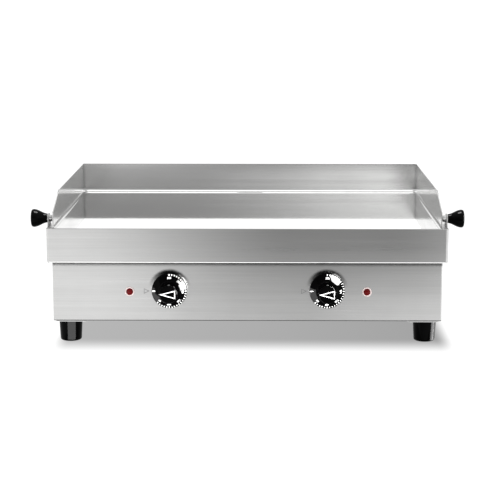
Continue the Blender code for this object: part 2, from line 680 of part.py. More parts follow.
def make_hinge(name, side, steel, chrome, pivot):
    x = side * HINGE_X
    leaf_top, ear_bottom, ear_bend = 0.190, 0.106, 0.143
    face = REAR + GAP
    leaf = [(face, leaf_top), (face, HINGE_Z)] + around_pin(KNUCKLE_RADIUS, 190, 491, 20)
    leaf += [(face + 0.002, HINGE_Z + 0.006), (face + 0.002, leaf_top)]
    pin_way_start = (x - 0.03, HINGE_Y, HINGE_Z)
    leaf_way = rod(SHAFT_BORE, pin_way_start, 0.06, (1, 0, 0), 20)
    piece(f"hinge_leaf_{name}", prism(leaf, x - LEAF_HALF, x + LEAF_HALF, "X"), steel, [leaf_way], pivot)

    wall = BODY_REAR + GAP
    ear = [(wall, ear_bottom), (wall, ear_bend), (HINGE_Y - KNUCKLE_RADIUS, ear_bend)]
    ear += around_pin(EAR_RADIUS, 180, -31, -30) + [(wall + 0.004, ear_bottom)]
    between = block((x - EAR_INNER_HALF, wall + 0.002, 0.10), (x + EAR_INNER_HALF, REAR + 0.05, 0.17))
    ear_way = rod(SHAFT_BORE, pin_way_start, 0.06, (1, 0, 0), 20)
    bracket = prism(ear, x - EAR_OUTER_HALF, x + EAR_OUTER_HALF, "X")
    piece(f"hinge_bracket_{name}", bracket, steel, [between, ear_way])

    head_radius, head = PIN_HEAD
    end = head + 2 * EAR_OUTER_HALF + SHEET
    profile = [(0, 0), (head_radius, 0), (head_radius, head), (SHAFT_RADIUS, head), (SHAFT_RADIUS, end)]
    start = (x + EAR_OUTER_HALF + head + GAP, HINGE_Y, HINGE_Z)
    pin = turned(profile + [(0, end)], start, (-1, 0, 0), steps=20)
    piece(f"hinge_pin_{name}", pin, chrome)


def main():
    clear_scene()
    steel = material("brushed_steel", (0.55, 0.55, 0.54), 0.35, 1.0)
    bright = material("bright_steel", (0.62, 0.62, 0.61), 0.22, 1.0)
    polished = material("polished_steel", (0.72, 0.72, 0.71), 0.06, 1.0)
    chrome = material("chrome", (0.80, 0.80, 0.80), 0.05, 1.0)
    zinc = material("zinc_plated_steel", (0.50, 0.51, 0.52), 0.45, 1.0)
    incoloy = material("element_sheath", (0.10, 0.09, 0.08), 0.60, 1.0)
    copper = material("copper", (0.75, 0.40, 0.25), 0.35, 1.0)
    gloss = material("black_phenolic", (0.010, 0.010, 0.011), 0.15)
    rubber = material("black_rubber", (0.012, 0.012, 0.013), 0.45)
    black = material("black_nylon", (0.02, 0.02, 0.02), 0.50)
    phenolic = material("thermostat_phenolic", (0.05, 0.04, 0.035), 0.55)
    cream = material("cream_ceramic", (0.80, 0.76, 0.66), 0.40)
    fibre = material("ceramic_fibre", (0.85, 0.84, 0.80), 0.95)
    red = material("red_lens", (0.22, 0.004, 0.006), 0.12)
    pale = material("pale_bezel", (0.62, 0.52, 0.50), 0.30)

    make_body_shell(steel)
    make_rear_panel(steel)
    make_base_plate(zinc)
    make_inner_pan(bright)
    make_feet(rubber, bright)
    make_mains_inlet(black, cream)
    make_drip_tray(steel)
    make_tray_runners(zinc)
    tilt = axis_empty("tilt_axis", (0, HINGE_Y, HINGE_Z))
    make_cooking_plate(polished, tilt)
    make_splash_walls(bright, tilt)
    make_skirt(steel, tilt)
    make_spout(bright, tilt)
    make_heating(incoloy, zinc, fibre, copper, tilt)
    for name, side in SIDES:
        make_thermostat(name, side * DIAL_X + CONTROLS_SHIFT, phenolic)
        make_dial(name, side * DIAL_X + CONTROLS_SHIFT, gloss, steel)
        make_lamp(name, side * LAMP_X + CONTROLS_SHIFT, red, pale)
        make_lifting_knob(name, side, gloss, tilt)
        make_knob_bracket(name, side, steel, tilt)
        make_knob_bolt(name, side, chrome, tilt)
        make_hinge(name, side, steel, chrome, tilt)


main()
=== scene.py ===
"""The looks of the flat top griddle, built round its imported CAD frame.

Metres, +Z up, the front faces -Y.
"""

import json
import math

import bmesh
import bpy
from mathutils import Matrix, Vector
from mathutils.geometry import interpolate_bezier

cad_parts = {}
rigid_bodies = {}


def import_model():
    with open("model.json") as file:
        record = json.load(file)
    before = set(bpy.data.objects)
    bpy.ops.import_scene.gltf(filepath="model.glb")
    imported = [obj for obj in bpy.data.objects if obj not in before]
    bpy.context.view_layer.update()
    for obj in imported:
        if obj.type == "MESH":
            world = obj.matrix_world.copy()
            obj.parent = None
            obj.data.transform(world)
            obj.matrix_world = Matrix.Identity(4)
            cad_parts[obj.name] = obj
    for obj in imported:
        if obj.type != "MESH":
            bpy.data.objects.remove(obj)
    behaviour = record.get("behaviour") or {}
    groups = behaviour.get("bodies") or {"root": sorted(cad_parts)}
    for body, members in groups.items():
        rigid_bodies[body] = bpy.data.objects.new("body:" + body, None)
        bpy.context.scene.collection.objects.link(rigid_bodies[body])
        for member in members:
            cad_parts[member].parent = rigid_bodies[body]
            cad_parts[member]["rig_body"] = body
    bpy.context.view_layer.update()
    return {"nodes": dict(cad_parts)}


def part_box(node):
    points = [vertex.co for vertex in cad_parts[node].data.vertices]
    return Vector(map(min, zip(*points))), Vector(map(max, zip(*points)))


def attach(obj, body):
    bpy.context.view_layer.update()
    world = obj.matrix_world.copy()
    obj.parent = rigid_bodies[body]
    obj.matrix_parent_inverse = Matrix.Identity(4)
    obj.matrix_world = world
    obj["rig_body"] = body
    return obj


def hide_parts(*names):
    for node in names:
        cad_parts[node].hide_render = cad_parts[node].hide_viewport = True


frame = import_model()

SIDES = (("left", -1), ("right", 1))
GAP = 0.0003
WELD = 0.00002

SKIRT_LOW, SKIRT_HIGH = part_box("plate_skirt")
BODY_LOW, BODY_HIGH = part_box("body_shell")
PLATE_LOW, PLATE_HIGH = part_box("cooking_plate")
WALL_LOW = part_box("back_splash")[0]
COOKING_LEVEL = PLATE_HIGH.z
PANEL_Y = BODY_LOW.y


# Mesh helpers


def arc(x, y, radius, start, end, steps=6):
    """Points along a circle about (x, y), between two angles in degrees."""
    angles = [math.radians(start + (end - start) * i / steps) for i in range(steps + 1)]
    return [(x + radius * math.cos(a), y + radius * math.sin(a)) for a in angles]


def bezier(start, handle_a, handle_b, end, steps=10):
    """A smooth stretch of an outline, without its first point."""
    points = [Vector((*spot, 0)) for spot in (start, handle_a, handle_b, end)]
    return [(point.x, point.y) for point in interpolate_bezier(*points, steps)][1:]


def as_object(name, shape, material, sharp=40):
    bmesh.ops.recalc_face_normals(shape, faces=shape.faces)
    mesh = bpy.data.meshes.new(name)
    shape.to_mesh(mesh)
    shape.free()
    mesh.materials.append(material)
    mesh.shade_smooth()
    mesh.set_sharp_from_angle(angle=math.radians(sharp))
    item = bpy.data.objects.new(name, mesh)
    bpy.context.scene.collection.objects.link(item)
    return item


def flat_shading(item):
    """Keeps large flats flat beside small round edges."""
    weighted = item.modifiers.new("flats", "WEIGHTED_NORMAL")
    weighted.keep_sharp = True


def spin(profile, centre, direction, steps=96, ring=False):
    """Turns a profile of (radius, distance) points round an axis."""
    shape = bmesh.new()
    circles = []
    for radius, distance in profile:
        if radius == 0:
            circles.append([shape.verts.new((0, 0, distance))] * steps)
            continue
        angles = [2 * math.pi * i / steps for i in range(steps)]
        circles.append(
            [shape.verts.new((radius * math.cos(a), radius * math.sin(a), distance)) for a in angles]
        )
    following = circles[1:] + circles[:1] if ring else circles[1:]
    for first, second in zip(circles, following):
        for i in range(steps):
            face = dict.fromkeys((first[i - 1], first[i], second[i], second[i - 1]))
            if len(face) > 2:
                shape.faces.new(list(face))
    turn = Vector((0, 0, 1)).rotation_difference(Vector(direction)).to_matrix().to_4x4()
    shape.transform(Matrix.Translation(centre) @ turn)
    return shape


def copied(node):
    """The CAD node's shape with its points joined."""
    shape = bmesh.new()
    shape.from_mesh(frame["nodes"][node].data)
    bmesh.ops.remove_doubles(shape, verts=shape.verts, dist=WELD)
    return shape


def stand_in(item, node):
    """Makes a piece ride on the node's body, and stand for the node."""
    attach(item, frame["nodes"][node]["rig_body"])
    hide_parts(node)
    return item


def softened(node, material, width=0.0005, segments=2):
    """A CAD sheet with no holes, with round edges."""
    shape = copied(node)
    bmesh.ops.dissolve_limit(
        shape, angle_limit=math.radians(0.5), verts=shape.verts, edges=shape.edges
    )
    edges = [edge for edge in shape.edges if edge.calc_face_angle() > math.radians(50)]
    bmesh.ops.bevel(shape, geom=edges, offset=width, segments=segments, profile=0.5, affect="EDGES")
    item = as_object(f"{node}_finished", shape, material, sharp=60)
    flat_shading(item)
    return stand_in(item, node)


def smoothed(node, material, sharp=50):
    """A round CAD node, shaded smooth."""
    return stand_in(as_object(f"{node}_finished", copied(node), material, sharp), node)


def bridged(outlines, closed_route, closed_section=True, accented=()):
    """Joins outlines that have the same number of points, and caps the ends of an open route.

    The strips after the outlines numbered in accented get the second material.
    """
    shape = bmesh.new()
    rows = [[shape.verts.new(point) for point in outline] for outline in outlines]
    following = rows[1:] + rows[:1] if closed_section else rows[1:]
    count = len(outlines[0])
    for number, (first, second) in enumerate(zip(rows, following)):
        for i in range(0 if closed_route else 1, count):
            face = shape.faces.new((first[i - 1], first[i], second[i], second[i - 1]))
            face.material_index = int(number in accented)
    if not closed_route:
        shape.faces.new([row[0] for row in rows])
        shape.faces.new([row[-1] for row in rows])
    return shape


def box_outline(low_x, low_y, high_x, high_y, radius, z, steps=8):
    """A level rectangle with round corners, as 3-D points."""
    radius = max(radius, 0.0001)
    corners = (
        (high_x - radius, high_y - radius, 0),
        (low_x + radius, high_y - radius, 90),
        (low_x + radius, low_y + radius, 180),
        (high_x - radius, low_y + radius, 270),
    )
    line = []
    for middle_x, middle_y, start in corners:
        line += arc(middle_x, middle_y, radius, start, start + 90, steps)
    return [(x, y, z) for x, y in line]


def dress(node, material):
    """Gives a CAD node that keeps its shape a better material."""
    mesh = frame["nodes"][node].data
    mesh.materials.clear()
    mesh.materials.append(material)


# Materials

# Painted shade in gaps, by ambient occlusion in the colour: reach, darkest level, openness where it is
# darkest, openness where it starts.
# The casing's ends with the height from which it shows: the photo has it only above the dials' middle.
SHEET_SHADE = (0.012, 0.5, 0.61, 0.74)
WALL_SHADE = (0.012, 0.78, 0.61, 0.74)
CASING_SHADE = (0.010, 0.02, 0.79, 0.92, 0.103)
SHADE_FADE = 0.025


def ranged(tree, value, start, end, low, high, smooth=False):
    """A value carried from the range start to end into the range low to high."""
    made = tree.nodes.new("ShaderNodeMapRange")
    made.interpolation_type = "SMOOTHSTEP" if smooth else "LINEAR"
    for socket, number in zip(("From Min", "From Max", "To Min", "To Max"), (start, end, low, high)):
        made.inputs[socket].default_value = number
    tree.links.new(value, made.inputs["Value"])
    return made.outputs["Result"]


class Surface:
    """A Principled material and short calls for its procedural nodes."""

    def __init__(self, name, colour, roughness, metallic=0.0, **sockets):
        self.material = bpy.data.materials.new(name)
        self.material.use_nodes = True
        self.tree = self.material.node_tree
        self.nodes = self.tree.nodes
        self.links = self.tree.links
        self.shader = self.nodes["Principled BSDF"]
        self.shader.inputs["Base Color"].default_value = (*colour, 1)
        self.shader.inputs["Roughness"].default_value = roughness
        self.shader.inputs["Metallic"].default_value = metallic
        for socket, value in sockets.items():
            self.shader.inputs[socket.replace("_", " ")].default_value = value
        self.place = self.nodes.new("ShaderNodeTexCoord").outputs["Object"]

    def noise(self, scale, detail=4, stretch=(1, 1, 1), roughness=0.55):
        mapping = self.nodes.new("ShaderNodeMapping")
        mapping.inputs["Scale"].default_value = stretch
        self.links.new(self.place, mapping.inputs["Vector"])
        made = self.nodes.new("ShaderNodeTexNoise")
        made.inputs["Scale"].default_value = scale
        made.inputs["Detail"].default_value = detail
        made.inputs["Roughness"].default_value = roughness
        self.links.new(mapping.outputs["Vector"], made.inputs["Vector"])
        return made.outputs["Fac"]

    def between(self, value, low, high, start=0.3, end=0.7):
        """A value ranged to numbers, or to colours where low and high are colours."""
        if isinstance(low, tuple):
            ramp = self.nodes.new("ShaderNodeValToRGB")
            ramp.color_ramp.elements[0].position = start
            ramp.color_ramp.elements[1].position = end
            ramp.color_ramp.elements[0].color = (*low, 1)
            ramp.color_ramp.elements[1].color = (*high, 1)
            self.links.new(value, ramp.inputs["Fac"])
            return ramp.outputs["Color"]
        return ranged(self.tree, value, start, end, low, high)

    def mixed(self, first, second, share=0.5):
        """Two grey values added in shares."""
        blended = self.nodes.new("ShaderNodeMix")
        blended.inputs["Factor"].default_value = share
        self.links.new(first, blended.inputs["A"])
        self.links.new(second, blended.inputs["B"])
        return blended.outputs["Result"]

    def shaded(self, colour, reach, dark, closed, open_from, above=None):
        """A colour darkened in narrow gaps and corners by ambient occlusion: painted contact shade.

        Where above is given, the shade fades in over that height.
        """
        openness = self.nodes.new("ShaderNodeAmbientOcclusion")
        openness.inputs["Distance"].default_value = reach
        openness.samples = 12
        level = self.between(openness.outputs["AO"], dark, 1.0, closed, open_from)
        if above:
            split = self.nodes.new("ShaderNodeSeparateXYZ")
            self.links.new(self.nodes.new("ShaderNodeNewGeometry").outputs["Position"], split.inputs[0])
            share = self.between(split.outputs["Z"], 0.0, 1.0, above, above + SHADE_FADE)
            fade = self.nodes.new("ShaderNodeMix")
            fade.inputs["A"].default_value = 1.0
            self.links.new(share, fade.inputs["Factor"])
            self.links.new(level, fade.inputs["B"])
            level = fade.outputs["Result"]
        scaled = self.nodes.new("ShaderNodeVectorMath")
        scaled.operation = "SCALE"
        self.links.new(colour, scaled.inputs[0])
        self.links.new(level, scaled.inputs["Scale"])
        return scaled.outputs["Vector"]

    def colour(self, value):
        self.links.new(value, self.shader.inputs["Base Color"])
        return self

    def roughness(self, value):
        self.links.new(value, self.shader.inputs["Roughness"])
        return self

    def bump(self, value, depth, strength=1.0):
        made = self.nodes.new("ShaderNodeBump")
        made.inputs["Distance"].default_value = depth
        made.inputs["Strength"].default_value = strength
        self.links.new(value, made.inputs["Height"])
        self.links.new(made.outputs["Normal"], self.shader.inputs["Normal"])
        return self


def brushed_steel(name, dark, light, rough_low, rough_high, grain=0.000012, shade=SHEET_SHADE):
    """Stainless sheet with a level grain: fine lines, wider streaks, and cloudy handling marks."""
    stretch = (3, 3, 420)
    steel = Surface(name, light, rough_high, 1.0)
    lines = steel.noise(2.2, 5, stretch, 0.7)
    streaks = steel.noise(1.0, 3, (stretch[0] / 3, stretch[1] / 3, stretch[2] / 6))
    clouds = steel.noise(7.0, 3)
    mixture = steel.mixed(steel.mixed(lines, streaks, 0.45), clouds, 0.30)
    # Painted shade: the colour darkens in gaps and corners by ambient occlusion.
    steel.colour(steel.shaded(steel.between(mixture, dark, light, 0.36, 0.62), *shade))
    steel.roughness(steel.between(mixture, rough_high, rough_low, 0.35, 0.65))
    return steel.bump(lines, grain).material


def cooking_steel():
    """The mirror-polished cooking surface: faint wipe marks and a haze of hair-fine scratches."""
    steel = Surface("polished_cooking_steel", (0.86, 0.86, 0.85), 0.05, 1.0)
    wipes = steel.noise(3.0, 4, (1, 9, 1))
    haze = steel.noise(38.0, 5)
    scratches = steel.noise(60.0, 6, (0.6, 14, 1), 0.8)
    marks = steel.mixed(wipes, haze)
    steel.colour(steel.between(marks, (0.80, 0.80, 0.795), (0.88, 0.88, 0.875), 0.35, 0.65))
    steel.roughness(steel.between(steel.mixed(wipes, scratches, 0.5), 0.020, 0.055, 0.35, 0.68))
    return steel.bump(scratches, 0.000003).material


def plated(name, colour, rough_low, rough_high, scale=90.0):
    """Zinc, chrome or sheathing: a mottled metal skin."""
    metal = Surface(name, colour, rough_high, 1.0)
    mottle = metal.noise(scale, 5)
    darker = tuple(0.78 * channel for channel in colour)
    metal.colour(metal.between(mottle, darker, colour, 0.35, 0.60))
    metal.roughness(metal.between(mottle, rough_low, rough_high))
    return metal.bump(mottle, 0.00001).material


def moulded(name, colour, rough_low, rough_high, grain, scale=700.0, **sockets):
    """Plastic or rubber with a fine moulded grain and slight handling polish."""
    plastic = Surface(name, colour, rough_high, 0.0, **sockets)
    texture = plastic.noise(scale, 3)
    polish = plastic.noise(40.0, 3)
    darker = tuple(0.7 * channel for channel in colour)
    plastic.colour(plastic.between(polish, darker, colour, 0.35, 0.65))
    plastic.roughness(plastic.between(polish, rough_low, rough_high))
    return plastic.bump(texture, grain).material


def make_materials():
    satin_look = ((0.56, 0.56, 0.555), (0.66, 0.66, 0.655), 0.26, 0.36)
    wall_look = ((0.58, 0.58, 0.575), (0.67, 0.67, 0.665), 0.13, 0.20, 0.000005)
    black = (0.002, 0.002, 0.0022)
    return {
        "satin": brushed_steel("satin_steel", *satin_look),
        "casing": brushed_steel("casing_steel", *satin_look, shade=CASING_SHADE),
        "wall": brushed_steel("splash_steel", *wall_look, WALL_SHADE),
        # Much darker steel for the casing's lower bend: a painted dark line standing for shade under the
        # casing.
        "hem": brushed_steel("painted_shade_hem_steel", (0.13, 0.13, 0.13), (0.17, 0.17, 0.17), 0.26, 0.36),
        "cooking": cooking_steel(),
        # Brighter, smoother steel: a painted highlight on the skirt's lower bend and the foot brackets.
        "edge": brushed_steel("painted_highlight_edge_steel", (0.84, 0.84, 0.835), (0.93, 0.93, 0.925), 0.10, 0.16),
        "chrome": plated("chrome_plate", (0.84, 0.84, 0.84), 0.03, 0.07, 60.0),
        "zinc": plated("zinc_plate", (0.56, 0.57, 0.58), 0.35, 0.50),
        "sheath": plated("element_sheath", (0.13, 0.115, 0.10), 0.45, 0.65),
        "copper": plated("copper_tube", (0.78, 0.43, 0.28), 0.25, 0.40),
        "gloss": moulded("black_phenolic", black, 0.03, 0.05, 0.000001, Specular_IOR_Level=0.04),
        "rubber": moulded("black_rubber", black, 0.08, 0.12, 0.000004, 500.0, Specular_IOR_Level=0.04),
        "nylon": moulded("black_nylon", (0.022, 0.022, 0.023), 0.42, 0.55, 0.00003),
        "case": moulded("thermostat_case", (0.055, 0.045, 0.038), 0.45, 0.60, 0.00003),
        "ceramic": moulded("cream_ceramic", (0.80, 0.76, 0.66), 0.35, 0.50, 0.00002, 300.0),
        "fibre": moulded("ceramic_fibre", (0.86, 0.85, 0.81), 0.85, 0.95, 0.0004, 220.0),
        "lens": moulded(
            "red_lens", (0.30, 0.004, 0.006), 0.06, 0.12, 0.000004, 300.0, Specular_IOR_Level=0.22
        ),
        "bezel": moulded("pale_bezel", (0.80, 0.66, 0.64), 0.25, 0.40, 0.00001),
        "print": moulded("white_print", (0.86, 0.86, 0.85), 0.40, 0.50, 0.000004),
        "grey_print": moulded("grey_print", (0.42, 0.42, 0.43), 0.40, 0.50, 0.000004),
    }


# Sheet metal


def make_skirt(look):
    """The upper box: a folded band with a round top edge, a hem, and a ledge up to the splash walls."""
    node = "plate_skirt"
    low, high = SKIRT_LOW, SKIRT_HIGH
    sheet, hem, corner, edge, bend = 0.0015, 0.0055, 0.005, 0.0013, 0.0019

    def ring(inset, z):
        return box_outline(
            low.x + inset, low.y + inset, high.x - inset, high.y - inset, corner - inset, z
        )

    def mouth(z):
        side = PLATE_HIGH.x + GAP
        return box_outline(-side, low.y + sheet, side, PLATE_HIGH.y + GAP, 0.0002, z)

    rings = [ring(hem, low.z + sheet), ring(hem, low.z)]
    rings += [ring(bend - x, low.z + bend - y) for x, y in arc(0, 0, bend, 90, 0, 8)]
    rings += [ring(edge - x, high.z - edge + y) for x, y in arc(0, 0, edge, 0, 90, 6)]
    rings += [mouth(high.z), mouth(high.z - sheet)]
    rings += [ring(sheet, high.z - sheet), ring(sheet, low.z + sheet)]
    shape = bridged(rings, closed_route=True, accented=range(2, 10))
    item = as_object(f"{node}_finished", shape, look["satin"], 50)
    # The lower bend's strips take the brighter steel: a painted highlight along the bend.
    item.data.materials.append(look["edge"])
    flat_shading(item)
    stand_in(item, node)


def make_shell(look):
    """The lower casing: front and sides in one sheet, folded in along its lower edge."""
    node = "body_shell"
    low, high = BODY_LOW, BODY_HIGH
    sheet, flange, corner, bend = 0.0015, 0.0165, 0.0025, 0.0016

    def wrap(inset, z):
        radius = max(corner - inset, 0.0002)
        left, right, front = low.x + inset, high.x - inset, low.y + inset
        line = [(left, high.y)] + arc(left + radius, front + radius, radius, 180, 270, 8)
        line += arc(right - radius, front + radius, radius, 270, 360, 8) + [(right, high.y)]
        return [(x, y, z) for x, y in line]

    rows = [wrap(sheet, high.z), wrap(sheet, low.z + sheet)]
    rows += [wrap(flange, low.z + sheet), wrap(flange, low.z)]
    rows += [wrap(bend - x, low.z + bend - y) for x, y in arc(0, 0, bend, 90, 0, 5)]
    rows += [wrap(0.0003 - x, high.z - 0.0003 + y) for x, y in arc(0, 0, 0.0003, 0, 90, 3)]
    shape = bridged(rows, closed_route=False, accented=range(4, 9))
    item = as_object(f"{node}_finished", shape, look["casing"], 50)
    # The lower bend's strips take the darker steel: painted shade along the casing's foot.
    item.data.materials.append(look["hem"])
    flat_shading(item)
    stand_in(item, node)


def make_cooking_plate(look):
    """The thick plate, with its drain slot at the back."""
    node = "cooking_plate"
    low, high = PLATE_LOW, PLATE_HIGH
    slot_low, slot_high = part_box("juice_spout")
    half, middle, width = 0.025, (slot_low.y + slot_high.y) / 2, 0.004
    edge, rim = 0.0006, 0.0015

    def outer(inset, z):
        return box_outline(low.x + inset, low.y + inset, high.x - inset, high.y - inset, 0.001, z)

    def slot(grow, z):
        long, short = half + grow, width + grow
        return box_outline(-long, middle - short, long, middle + short, short - 0.0001, z)

    rings = [outer(0, low.z)]
    rings += [outer(edge - x, high.z - edge + y) for x, y in arc(0, 0, edge, 0, 90, 4)]
    rings += [slot(rim - x, high.z - rim + y) for x, y in arc(0, 0, rim, 90, 0, 6)]
    rings.append(slot(0, low.z))
    item = as_object(f"{node}_finished", bridged(rings, closed_route=True), look["cooking"], 50)
    flat_shading(item)
    stand_in(item, node)


def make_sheets(look):
    make_skirt(look)
    make_shell(look)
    make_cooking_plate(look)
    for node in ("back_splash", "side_splash_left", "side_splash_right"):
        softened(node, look["wall"], 0.0007, 3)
    for node in ("rear_panel", "drip_tray"):
        dress(node, look["satin"])
    for node in ("inner_pan", "juice_spout"):
        dress(node, look["wall"])
    for node in ("base_plate", "heat_shield"):
        dress(node, look["zinc"])
    for name, _ in SIDES:
        for node in (f"hinge_leaf_{name}", f"hinge_bracket_{name}"):
            smoothed(node, look["satin"])
        dress(f"handle_bracket_{name}", look["satin"])
        softened(f"tray_runner_{name}", look["zinc"], 0.0003)
        softened(f"element_clamp_{name}", look["zinc"], 0.0004)
        for end in ("front", "rear"):
            # The foot brackets take the brighter steel: a painted highlight.
            softened(f"foot_bracket_{end}_{name}", look["edge"], 0.0003)


COVE_RADIUS = 0.0048


def make_coves(look):
    """The polished hollow weld where each splash wall meets the cooking plate."""
    inner_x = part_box("side_splash_right")[0].x
    inner_y = WALL_LOW.y
    front_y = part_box("side_splash_left")[0].y
    level = COOKING_LEVEL + 0.00005
    radius = COVE_RADIUS
    section = [(0, 0)] + [(radius - a, radius - b) for a, b in arc(0, 0, radius, 0, 90, 10)][::-1]
    # The route runs up the left wall, along the back and down the right wall, with mitred corners.
    corners = [
        (-inner_x, front_y + 0.0004, (1, 0)),
        (-inner_x, inner_y, (1, -1)),
        (inner_x, inner_y, (-1, -1)),
        (inner_x, front_y + 0.0004, (-1, 0)),
    ]
    shape = bmesh.new()
    rows = []
    for x, y, (in_x, in_y) in corners:
        spots = [(x + in_x * out, y + in_y * out, level + up) for out, up in section]
        rows.append([shape.verts.new(spot) for spot in spots])
    for run, (first, second) in enumerate(zip(rows, rows[1:])):
        for i in range(len(section)):
            face = shape.faces.new((first[i - 1], first[i], second[i], second[i - 1]))
            face.material_index = int(run != 1)
    shape.faces.new(rows[0])
    shape.faces.new(rows[-1])
    cove = as_object("wall_foot_cove", shape, look["cooking"], sharp=30)
    cove.data.materials.append(look["wall"])
    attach(cove, "griddle_plate")


# Turned pieces


def make_feet(look):
    lip = 0.0012
    for end in ("front", "rear"):
        for name, _ in SIDES:
            node = f"foot_{end}_{name}"
            low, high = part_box(node)
            radius = (high.x - low.x) / 2
            height = high.z - low.z
            base = radius - 0.0018
            profile = [(0, 0.0008), (0.0045, 0.0008), (0.0055, 0), (base - 0.004, 0)]
            profile += arc(base - 0.004, 0.004, 0.004, -90, 0, 8)[1:]
            profile.append((radius, height - lip))
            profile += arc(radius - lip, height - lip, lip, 0, 90, 5)[1:]
            profile.append((0, height))
            centre = ((low.x + high.x) / 2, (low.y + high.y) / 2, low.z)
            foot = as_object(f"{node}_finished", spin(profile, centre, (0, 0, 1), 72), look["rubber"])
            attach(foot, "casing")
            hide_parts(node)


def handle_profile(length, tip, neck):
    """The knob's section: a trumpet that swells from its neck, with a lightly domed end."""
    profile = [(0, 0.0004), (neck - 0.0006, 0.0004)] + arc(neck - 0.0008, 0.0012, 0.0008, -90, 0, 4)
    widest = (tip, length - 0.0062)
    profile += bezier((neck, 0.0012), (neck + 0.0012, 0.010), (tip - 0.0012, 0.014), widest, 18)
    shoulder = ((tip, length - 0.0026), (tip - 0.0010, length - 0.0014), (tip - 0.0034, length - 0.0009))
    profile += bezier(widest, *shoulder, 8)
    return profile + [(tip * 0.4, length - 0.0002), (0, length)]


def make_handles(look):
    for name, side in SIDES:
        node = f"handle_knob_{name}"
        low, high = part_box(node)
        inner = high.x if side < 0 else low.x
        centre = (inner, (low.y + high.y) / 2, (low.z + high.z) / 2)
        profile = handle_profile(high.x - low.x, (high.z - low.z) / 2, 0.008)
        knob = as_object(f"{node}_finished", spin(profile, centre, (side, 0, 0), 80), look["gloss"])
        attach(knob, "griddle_plate")
        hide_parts(node)
        bracket_low, bracket_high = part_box(f"handle_bracket_{name}")
        outer = bracket_low.x if side < 0 else bracket_high.x
        thick = abs(inner - outer)
        bore, rim, edge = 0.0034, 0.0078, 0.0003
        ring = [(bore, 0.0001), (rim, 0.0001)] + arc(rim - edge, thick / 2, edge, -60, 60, 4)
        ring += [(rim, thick + 0.0002), (bore, thick + 0.0002)]
        washer = spin(ring, (outer, centre[1], centre[2]), (side, 0, 0), 48, ring=True)
        washer = as_object(f"handle_washer_{name}", washer, look["chrome"])
        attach(washer, "griddle_plate")
        bolt_low, bolt_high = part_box(f"handle_bolt_{name}")
        head = bolt_high.x if side < 0 else bolt_low.x
        length = abs(head - (bracket_high.x if side < 0 else bracket_low.x))
        radius = (bolt_high.z - bolt_low.z) / 2
        shank_end = bolt_high.x - bolt_low.x
        dome = bezier((0, 0), (0.0045, 0), (radius - 0.0004, 0.0012), (radius - 0.0002, 0.0042), 12)
        profile = [(0, 0)] + dome + [(radius, 0.0044), (radius, length - 0.0004)]
        profile += [(radius - 0.0004, length), (0.003, length), (0.003, shank_end), (0, shank_end)]
        bolt = spin(profile, (head, centre[1], centre[2]), (side, 0, 0), 64)
        bolt = as_object(f"handle_bolt_{name}_finished", bolt, look["chrome"])
        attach(bolt, "griddle_plate")
        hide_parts(f"handle_bolt_{name}")


# Dials

DIAL_LABELS = ((-315, "50"), (-270, "100"), (-225, "150"), (-180, "200"), (-135, "250"), (-90, "300"))
TICK_START = -90
TICK_STEP = 9
FACE_START = (0.0302, 0.0094)  # outer end of the sloping face, as (radius, height over the panel)
FACE_END = (0.0200, 0.0134)


def dial_profile(reach, radius, hub):
    """The dial's section as (radius, height over the panel)."""
    rim = 0.0010
    wall, edge = radius - 0.0022, 0.0004
    profile = [(0, 0.0030), (0.0072, 0.0025), (0.0075, 0.0110), (0.0170, 0.0100), (wall, 0.0066)]
    profile += [(wall, rim), (radius - edge, rim)] + arc(radius - edge, rim + edge, edge, -90, 0, 3)
    profile += [(radius, 0.0084)]
    profile += bezier((radius, 0.0084), (radius, 0.0091), (radius - 0.0003, 0.0094), FACE_START, 6)
    profile += bezier(FACE_START, (0.026, 0.0108), (0.023, 0.0121), FACE_END, 8)
    profile += bezier(FACE_END, (0.0178, 0.0143), (0.0167, 0.0165), (0.0164, 0.0205), 10)
    profile += [(hub + 0.0001, 0.028), (hub, reach - 0.0014)]
    profile += arc(hub - 0.0014, reach - 0.0014, 0.0014, 0, 80, 6)[1:]
    dish = reach - 0.0006
    profile += bezier(
        (hub - 0.0012, reach), (hub - 0.0022, reach), (0.011, reach - 0.0005), (0.006, dish), 8
    )
    return profile + [(0, dish)]


def face_height(radius):
    """Height of the sloping face over the panel at a radius."""
    share = (FACE_START[0] - radius) / (FACE_START[0] - FACE_END[0])
    return FACE_START[1] + share * (FACE_END[1] - FACE_START[1]) + 0.0002 * math.sin(math.pi * share)


def raised(shape, outline, height):
    """Adds a thin plate on the given corners, pushed towards -Y."""
    rows = []
    for lift in (0, height):
        rows.append([shape.verts.new((x, y - lift, z)) for x, y, z in outline])
    shape.faces.new(rows[0])
    shape.faces.new(rows[1])
    for i in range(len(outline)):
        shape.faces.new((rows[0][i - 1], rows[0][i], rows[1][i], rows[1][i - 1]))


def polar(centre, angle, radius, across=0.0, lift=0.0):
    """A point on the sloping face. The angle runs counter-clockwise from 9 o'clock."""
    a = math.radians(180 + angle)
    x = centre.x + radius * math.cos(a) - across * math.sin(a)
    z = centre.z + radius * math.sin(a) + across * math.cos(a)
    return (x, centre.y - face_height(radius) - lift, z)


def add_tick(shape, centre, angle, start, end, width):
    corners = ((start, -width / 2), (end, -width / 2), (end, width / 2), (start, width / 2))
    spots = [polar(centre, angle, radius, across, -0.00012) for radius, across in corners]
    raised(shape, spots, 0.00024)


